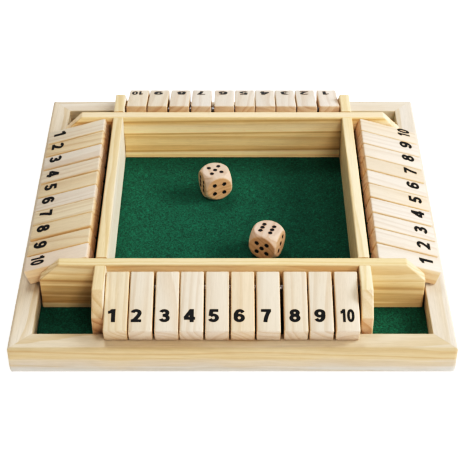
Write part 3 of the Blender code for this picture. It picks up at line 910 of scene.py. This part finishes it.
def add_boards(material):
    """Boards along X are notched below, the two others above. Each takes the ends of two rods."""
    places = {"front": (0, -1, 0), "back": (0, 1, 0), "right": (1, 0, 1), "left": (-1, 0, 1)}
    for side, (x, y, quarters) in places.items():
        mesh = board_mesh(notched_above=quarters == 1)
        turn = Matrix.Rotation(QUARTER * quarters, 4, "Z")
        place = Matrix.Translation((x * BOARD_OFFSET, y * BOARD_OFFSET, 0)) @ turn
        cutters = []
        for row in ("front", "back") if quarters else ("left", "right"):
            bore = rod_bore(row)
            bore.transform(place.inverted())
            cutters.append(bore)
        mesh = with_booleans(mesh, cutters)
        tinting = partial(face_tints, layers=BOARD_GRAIN_AND_PAINTED_LIGHT[side])
        if side in BANDS:
            cut_bands(mesh, side)
            tinting = partial(banded_tints, layers=BOARD_GRAIN_AND_PAINTED_LIGHT[side], bands=side)
        smooth(mesh, 35)
        give_grain(mesh, "X", BOARD_LOGS[side], tinting)
        add_piece(f"{side}_tray_board", mesh, material, place, "box", f"{side}_board")


# The tiles, their rods and their numerals


def tile_frames():
    """Each tile's own frame as a matrix: X along its rod, its free end towards -Y, Z out of its face."""
    sample = NODES["front_tile_01"].data
    face = max(sample.polygons, key=lambda polygon: polygon.area * (polygon.normal.z > 0.5))
    slope = math.acos(face.normal.z)
    frames = {}
    for row, _, name in TILES:
        turn = Euler((slope, 0, QUARTER * ROWS[row]), "XYZ").to_matrix()
        frames[name] = Matrix.Translation(JOINTS[name]["pos_m"]) @ turn.to_4x4()
    return frames


def tile_extents(frames):
    """The tile's corners in its own frame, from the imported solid."""
    back = frames["front_tile_01"].inverted()
    points = np.array([back @ vertex.co for vertex in NODES["front_tile_01"].data.vertices])
    return Vector(points.min(axis=0)), Vector(points.max(axis=0))


def tile_mesh(low, high):
    shape = bmesh.new()
    bmesh.ops.create_cube(shape, size=1)
    bmesh.ops.scale(shape, vec=high - low, verts=shape.verts)
    bmesh.ops.translate(shape, vec=(low + high) / 2, verts=shape.verts)
    bmesh.ops.bevel(
        shape, geom=list(shape.edges), offset=TILE_EDGE_ROUND, segments=4, profile=0.5, affect="EDGES"
    )
    block = mesh_from(shape, "tile")
    bore = cylinder_mesh(BORE_DIAMETER, high.x - low.x + 2 * CUT_OVERRUN)
    mesh = with_booleans(block, [bore])
    smooth(mesh, 30)
    return mesh


TILE_TINTS = {
    "front": ("gold", "cream", "ivory", "ivory", "warm", "amber", "cream", "cream", "cream", "ivory"),
    "right": ("plain", "plain", "plain", "pale", "warm", "plain", "cream", "plain", "pale", "warm"),
    "back": ("bright", "pale", "pale", "pale", "pale", "pale", "pale", "plain", "cream", "warm"),
    "left": ("cream", "gold", "plain", "cream", "gold", "plain", "honey", "gold", "gold", "bright"),
}


def add_tiles(material, frames, low, high):
    mesh = tile_mesh(low, high)
    for row, number, name in TILES:
        chance = random.Random(f"{name} log")
        own = mesh.copy()
        angle = math.radians(chance.uniform(-65, 65) + chance.choice((-90, 90)))
        reach = chance.uniform(0.018, 0.050)
        pith = (reach * math.cos(angle), reach * math.sin(angle))
        lean = (chance.uniform(-0.05, 0.05), chance.uniform(-0.05, 0.05))
        travel, spacing = chance.uniform(0, 5), chance.uniform(2.8, 5.0)
        log = (pith, lean, travel, spacing, TILE_TINTS[row][number - 1])
        layers = TILE_PAINTED_SHADE + (BACK_INNER_END_SHADE if row == "back" else INNER_END_SHADE)
        give_grain(own, "Y", log, partial(face_tints, layers=layers))
        piece_name = f"{row}_flip_tile_{number:02d}"
        add_piece(piece_name, own, material, frames[name], name, name)


def add_rods(material):
    for row in ROWS:
        mesh = cylinder_mesh(ROD_DIAMETER, ROD_HIGH.x - ROD_LOW.x, 48, ROD_END_CHAMFER)
        smooth(mesh, 40)
        add_piece(f"{row}_hinge_rod", mesh, material, row_place(row), "box", f"{row}_rod")


def pen_line(points):
    return points, False


def pen_arc(x, y, rx, ry, start, end):
    angles = np.radians(np.linspace(start, end, 33))
    return [(x + rx * math.cos(a), y + ry * math.sin(a)) for a in angles], False


def pen_ring(x, y, rx, ry, squareness=2.2):
    angles = np.radians(np.linspace(0, 360, 48, endpoint=False))
    power = 2 / squareness
    return [
        (
            x + rx * math.copysign(abs(math.cos(a)) ** power, math.cos(a)),
            y + ry * math.copysign(abs(math.sin(a)) ** power, math.sin(a)),
        )
        for a in angles
    ], True


def pen_curve(start, pull, end):
    shares = np.linspace(0, 1, 17)
    return [
        tuple((1 - s) ** 2 * a + 2 * s * (1 - s) * b + s**2 * c for a, b, c in zip(start, pull, end))
        for s in shares
    ], False


def numeral_strokes(digit):
    """The strokes of a digit of height 1, standing on Y = 0, for a pen that is wider across than down."""
    stem = STEM_SHARE / 2
    bar = BAR_SHARE / 2
    width = 0.75
    middle = width / 2
    reach = middle - stem
    if digit == "0":
        return [pen_ring(middle, 0.5, reach, 0.5 - bar)]
    if digit == "1":
        flag = pen_curve((0.0, 0.75), (0.22, 0.755), (0.30, 0.93))
        return [pen_line([(0.36, 0), (0.36, 1)]), flag]
    if digit == "2":
        hook = pen_arc(middle - 0.01, 0.70, reach - 0.01, 0.30 - bar, 172, -18)
        slide = pen_curve(hook[0][-1], (0.52, 0.42), (0.17, 0.10))
        return [hook, slide, pen_line([(0.03, bar), (width - 0.03, bar)])]
    if digit == "3":
        upper = pen_arc(middle - 0.02, 0.715, reach - 0.03, 0.285 - bar, 165, -100)
        lower = pen_arc(middle - 0.01, 0.305, reach - 0.005, 0.305 - bar, 100, -165)
        return [upper, lower, pen_line([(0.25, 0.52), (0.46, 0.52)])]
    if digit == "4":
        return [
            pen_line([(0.52, 0), (0.52, 1)]),
            pen_line([(0.0, 0.29), (width, 0.29)]),
            pen_line([(0.50, 0.95), (0.08, 0.31)]),
        ]
    if digit == "5":
        bowl = pen_arc(middle - 0.015, 0.33, reach, 0.33 - bar, 142, -160)
        return [
            pen_line([(0.14, 1 - bar), (width - 0.06, 1 - bar)]),
            pen_line([(0.235, 0.96), (0.175, 0.47)]),
            bowl,
        ]
    if digit == "6":
        bowl = pen_ring(middle, 0.325, reach, 0.325 - bar, 2.0)
        tail = pen_arc(middle + 0.03, 0.5, reach + 0.03, 0.5 - bar, 200, 36)
        return [bowl, tail]
    if digit == "7":
        return [
            pen_line([(0.03, 1 - bar), (width - 0.04, 1 - bar)]),
            pen_curve((0.60, 0.88), (0.36, 0.50), (0.315, 0.0)),
        ]
    if digit == "8":
        return [
            pen_ring(middle, 0.7175, reach - 0.035, 0.2825 - bar, 2.0),
            pen_ring(middle, 0.3125, reach, 0.3125 - bar, 2.0),
        ]
    six = numeral_strokes("6")
    return [([(width - x, 1 - y) for x, y in points], closed) for points, closed in six]


def stroke_mesh(points, closed):
    """A flat ribbon along the points, as wide as an elliptical pen makes it, with a little thickness."""
    path = np.array(points)
    if closed:
        ahead = np.roll(path, -1, axis=0)
        behind = np.roll(path, 1, axis=0)
    else:
        ahead = np.vstack((path[1:], path[-1:]))
        behind = np.vstack((path[:1], path[:-1]))
    tangent = ahead - behind
    tangent /= np.linalg.norm(tangent, axis=1)[:, None]
    half = np.hypot(STEM_SHARE / 2 * tangent[:, 1], BAR_SHARE / 2 * tangent[:, 0])[:, None]
    normal = np.column_stack((-tangent[:, 1], tangent[:, 0])) * half
    shape = bmesh.new()
    rows = []
    for left, right in zip(path + normal, path - normal):
        corners = ((*left, INK_SHARE), (*right, INK_SHARE), (*right, -INK_SHARE), (*left, -INK_SHARE))
        rows.append([shape.verts.new(corner) for corner in corners])
    pairs = list(zip(rows, rows[1:]))
    if closed:
        pairs.append((rows[-1], rows[0]))
    else:
        shape.faces.new(rows[0])
        shape.faces.new(rows[-1][::-1])
    for first, second in pairs:
        for index in range(4):
            after = (index + 1) % 4
            shape.faces.new((first[index], second[index], second[after], first[after]))
    return mesh_from(shape, "stroke")


def digit_mesh(digit):
    strokes = [stroke_mesh(points, closed) for points, closed in numeral_strokes(digit)]
    if len(strokes) == 1:
        return strokes[0]
    return with_booleans(strokes[0], strokes[1:], "UNION")


def numeral_mesh(number, digits):
    """The numeral, centred on X, its feet on Y = 0, of height 1."""
    shape = bmesh.new()
    text = str(number)
    squeeze = CONDENSED_SHARE if len(text) > 1 else 1.0
    reach = 0.0
    for digit in text:
        part = digits[digit].copy()
        part.transform(Matrix.Diagonal((squeeze, 1, 1, 1)))
        places = np.array([vertex.co[0] for vertex in part.vertices])
        part.transform(Matrix.Translation((reach - places.min(), 0, 0)))
        reach += places.max() - places.min() + TEN_SPACE_SHARE
        shape.from_mesh(part)
        bpy.data.meshes.remove(part)
    bmesh.ops.translate(shape, vec=(-(reach - TEN_SPACE_SHARE) / 2, 0, 0), verts=shape.verts)
    return mesh_from(shape, f"numeral_{text}")


def add_numerals(material, frames, low, high):
    digits = {digit: digit_mesh(digit) for digit in "0123456789"}
    meshes = {number: numeral_mesh(number, digits) for number in NUMBERS}
    for row, number, name in TILES:
        shift = NUMERAL_SHIFTS[row][number - 1] * MILLIMETRE
        mesh = meshes[number].copy()
        mesh.transform(Matrix.Scale(NUMERAL_HEIGHTS[row], 4))
        numeral = new_object(f"{row}_numeral_{number:02d}", mesh, material)
        place = Matrix.Translation((shift, low.y + NUMERAL_FEET[row], high.z))
        numeral.matrix_world = frames[name] @ place
        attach(numeral, name)


# The felt


def add_felt(material):
    """One cut sheet on the base, pressed a little into the wood's unevenness."""
    shape = bmesh.new()
    bmesh.ops.create_grid(shape, x_segments=FELT_CELLS, y_segments=FELT_CELLS, size=FELT_HIGH.x)
    for vertex in shape.verts:
        x, y, _ = vertex.co
        swell = noise.noise(Vector((x * 60, y * 60, 3))) + 0.5 * noise.noise(Vector((x * 260, y * 260, 9)))
        vertex.co.z = FELT_HIGH.z - FELT_SINK + FELT_SWELL * swell
    bmesh.ops.recalc_face_normals(shape, faces=shape.faces)
    grown = bmesh.ops.extrude_face_region(shape, geom=list(shape.faces))
    lower = [item for item in grown["geom"] if isinstance(item, bmesh.types.BMVert)]
    for vertex in lower:
        vertex.co.z = FELT_LOW.z
    mesh = mesh_from(shape, "felt")
    smooth(mesh, 50)
    felt = add_piece("felt_cloth", mesh, material, Matrix(), "box", "felt_sheet")


# The dice


def die_body():
    """A cube whose edges and corners a ball has rounded off, with a soft line where the two meet."""
    shape = bmesh.new()
    bmesh.ops.create_cube(shape, size=2)
    bmesh.ops.subdivide_edges(shape, edges=list(shape.edges), cuts=DIE_CELLS - 1, use_grid_fill=True)
    half = DIE_SIDE / 2
    ball = DIE_BALL_DIAMETER / 2
    for vertex in shape.verts:
        spread = Vector([math.tan(value * math.radians(45)) for value in vertex.co])
        direction = spread.normalized()
        cube_reach = half / max(abs(value) for value in direction)
        depth = max(DIE_EDGE_BLEND - abs(cube_reach - ball), 0) / DIE_EDGE_BLEND
        reach = min(cube_reach, ball) - depth**2 * DIE_EDGE_BLEND / 4
        vertex.co = direction * reach
    return mesh_from(shape, "die")


def pip_places(faces):
    """For each pip, its face's turn, and the middle of its ball before that turn."""
    step = PIP_STEP_SHARE * DIE_SIDE
    height = DIE_SIDE / 2 + PIP_BALL_RADIUS - PIP_DEPTH
    for face, count in faces.items():
        turn = Euler([math.radians(angle) for angle in FACE_TURNS[face]]).to_matrix()
        for x, y in PIP_PATTERNS[count]:
            yield turn, Vector((x * step, y * step, height))


def pip_cutter(faces):
    """One small ball for each pip, each sunk to the pip's depth in its face."""
    shape = bmesh.new()
    for turn, place in pip_places(faces):
        ball = bmesh.ops.create_uvsphere(shape, u_segments=28, v_segments=20, radius=PIP_BALL_RADIUS)
        bmesh.ops.translate(shape, vec=place, verts=ball["verts"])
        bmesh.ops.rotate(shape, matrix=turn, verts=ball["verts"])
    return mesh_from(shape, "pips")


def paint_pips(mesh, faces):
    """Gives the second material to the faces that lie on a pip's ball."""
    centres = [turn @ place for turn, place in pip_places(faces)]
    radius = PIP_BALL_RADIUS
    for polygon in mesh.polygons:
        if any(abs((polygon.center - centre).length - radius) < radius * 0.03 for centre in centres):
            inside = polygon.center.length < DIE_BALL_DIAMETER / 2
            polygon.material_index = 1 if inside else 0


DIE_LOGS = {
    "die_back": ((0.012, -0.020), (0.03, 0.02), 0.3, 2.6, "plain"),
    "die_front": ((-0.016, -0.022), (-0.03, 0.03), 0.9, 2.8, "blush"),
}


def add_dice(wood, paint):
    for name, (turn, faces) in DICE.items():
        mesh = with_booleans(die_body(), [pip_cutter(faces)])
        mesh.materials.clear()
        mesh.materials.append(wood)
        mesh.materials.append(paint)
        paint_pips(mesh, faces)
        smooth(mesh, 30)
        give_grain(mesh, "Y", DIE_LOGS[name], die_tints)
        low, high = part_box(name)
        place = Matrix.Translation((low + high) / 2) @ Matrix.Rotation(math.radians(turn), 4, "Z")
        add_piece(f"wooden_{name}", mesh, None, place, name, name)


def finish_base(material):
    slot = NODES["base_panel"].material_slots[0]
    slot.link = "OBJECT"
    slot.material = material


def main():
    add_camera()
    add_lights()
    set_tone()
    figure = wood_figure()
    woods = {name: wood_material(f"{name}_wood", figure, *looks) for name, looks in WOODS.items()}
    add_floor(floor_material())
    finish_base(plywood_material(figure))
    add_rails(woods["frame_pine"])
    frames = tile_frames()
    low, high = tile_extents(frames)
    add_boards(woods["board_pine"])
    add_rods(steel_material())
    add_tiles(woods["tile_pine"], frames, low, high)
    add_numerals(ink_material("printed_ink", (0.006, 0.006, 0.006), 0.50), frames, low, high)
    add_felt(felt_material())
    add_dice(woods["die_beech"], ink_material("pip_paint", (0.004, 0.003, 0.003), 0.32))


main()
bpy.context.view_layer.update()
